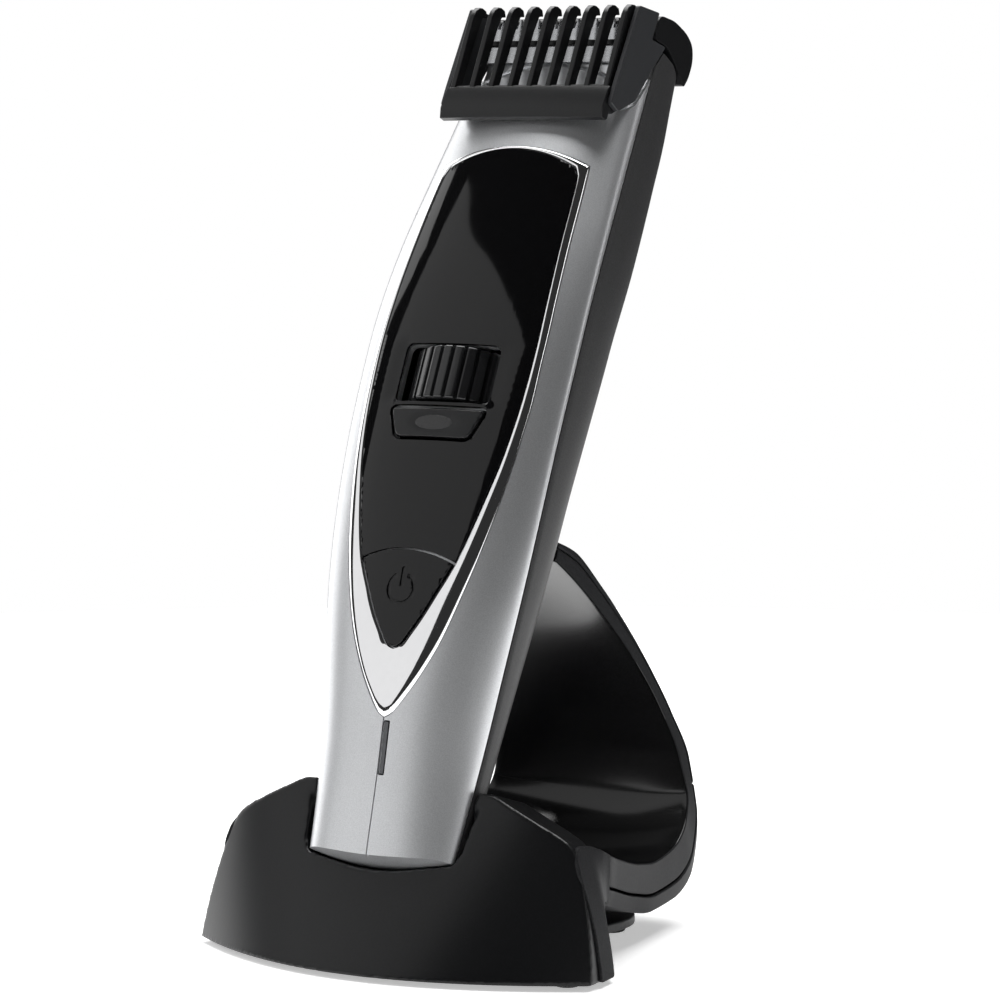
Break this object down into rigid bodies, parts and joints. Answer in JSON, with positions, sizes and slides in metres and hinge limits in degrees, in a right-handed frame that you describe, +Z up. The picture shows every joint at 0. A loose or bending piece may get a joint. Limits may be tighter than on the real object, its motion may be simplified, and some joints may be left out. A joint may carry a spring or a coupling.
{
  "type": "beard trimmer",
  "caption": "Cordless beard trimmer with an adjustable comb guard, length dial and lock, leaning in a C-shaped charging stand.",
  "frame": {"origin": "middle of the footprint, on the table", "axes": "+Z up, front of the stand and of the trimmer towards -Y, +X to the right seen from the front"},
  "size_m": [0.0898, 0.0947, 0.183],
  "materials": {
    "silver_lacquer": "satin metallic silver lacquer on plastic",
    "dark_grip": "fine-textured dark grey",
    "mirror_chrome": "mirror plated",
    "gloss_black": "piano-black gloss",
    "satin_black": "satin black",
    "comb_black": "satin black moulding",
    "cheek_grey": "satin dark grey",
    "inner_white": "plain white moulding",
    "blade_steel": "ground steel",
    "motor_case": "drawn can",
    "cell_sleeve": "printed sleeve",
    "board_green": "solder mask",
    "contact_brass": "plated contact",
    "smoke_lens": "smoked clear lens",
    "foot_rubber": "soft black rubber",
    "weight_plate": "black powder coat"
  },
  "bodies": {
    "stand": {"stand_front": "satin_black", "cradle_inner": "gloss_black", "cradle_cover_lower": "satin_black", "cradle_cover_upper": "satin_black", "base_plate": "weight_plate", "charge_socket": "satin_black", "charge_socket_pin": "blade_steel", "foot_front_left": "foot_rubber", "foot_front_right": "foot_rubber", "foot_rear_left": "foot_rubber", "foot_rear_right": "foot_rubber"},
    "trimmer": {"handle_front_shell": "silver_lacquer", "handle_rear_shell": "dark_grip", "chrome_ring": "mirror_chrome", "gloss_panel": "gloss_black", "head_plate": "blade_steel", "fixed_blade": "blade_steel", "motor_can": "motor_case", "battery_left": "cell_sleeve", "battery_right": "cell_sleeve", "circuit_board": "board_green", "power_switch": "inner_white", "light_pipe": "smoke_lens", "led": "inner_white", "charge_tab_left": "contact_brass", "charge_tab_right": "contact_brass", "handle_screw_1": "blade_steel", "handle_screw_2": "blade_steel", "handle_screw_3": "blade_steel"},
    "power_button_body": {"power_button": "gloss_black"},
    "lock_button_body": {"lock_button": "satin_black"},
    "dial": {"length_dial": "satin_black", "dial_spindle": "inner_white"},
    "carriage": {"comb_carriage": "satin_black", "rear_hood": "satin_black"},
    "comb_attachment": {"comb": "comb_black", "comb_cheek_left": "cheek_grey", "comb_cheek_right": "cheek_grey"},
    "cutter": {"moving_blade": "blade_steel", "drive_yoke": "inner_white"},
    "rotor": {"crank": "contact_brass", "motor_shaft": "blade_steel"}
  },
  "joints": [
    {"name": "trimmer_lift", "type": "slide", "parent": "stand", "child": "trimmer", "axis": [0, 0.4067, 0.9135], "range_m": [0, 0.06]},
    {"name": "power_press", "type": "slide", "parent": "trimmer", "child": "power_button_body", "axis": [0, 0.9135, -0.4067], "range_m": [0, 0.0005], "stiffness_N_per_m": 800},
    {"name": "lock_press", "type": "slide", "parent": "trimmer", "child": "lock_button_body", "axis": [0, 0.9135, -0.4067], "range_m": [0, 0.001], "stiffness_N_per_m": 800},
    {"name": "dial_turn", "type": "hinge", "parent": "trimmer", "child": "dial", "pos_m": [0, -0.00299, 0.10762], "axis": [0, 0.4067, 0.9135], "range_deg": [0, 300]},
    {"name": "comb_adjust", "type": "slide", "parent": "trimmer", "child": "carriage", "axis": [0, 0.4067, 0.9135], "range_m": [0, 0.01]},
    {"name": "comb_pull", "type": "slide", "parent": "carriage", "child": "comb_attachment", "axis": [0, -0.9688, 0.2479], "range_m": [0, 0.025]},
    {"name": "cutter_stroke", "type": "slide", "parent": "trimmer", "child": "cutter", "axis": [1, 0, 0], "range_m": [-0.0008, 0.0008]},
    {"name": "motor_spin", "type": "hinge", "parent": "trimmer", "child": "rotor", "pos_m": [0, 0.02496, 0.15615], "axis": [0, 0.4067, 0.9135], "continuous": true}
  ],
  "couplings": [
    {"joint": "dial_turn", "follows": "comb_adjust", "rad_per_m": 523.5}
  ]
}
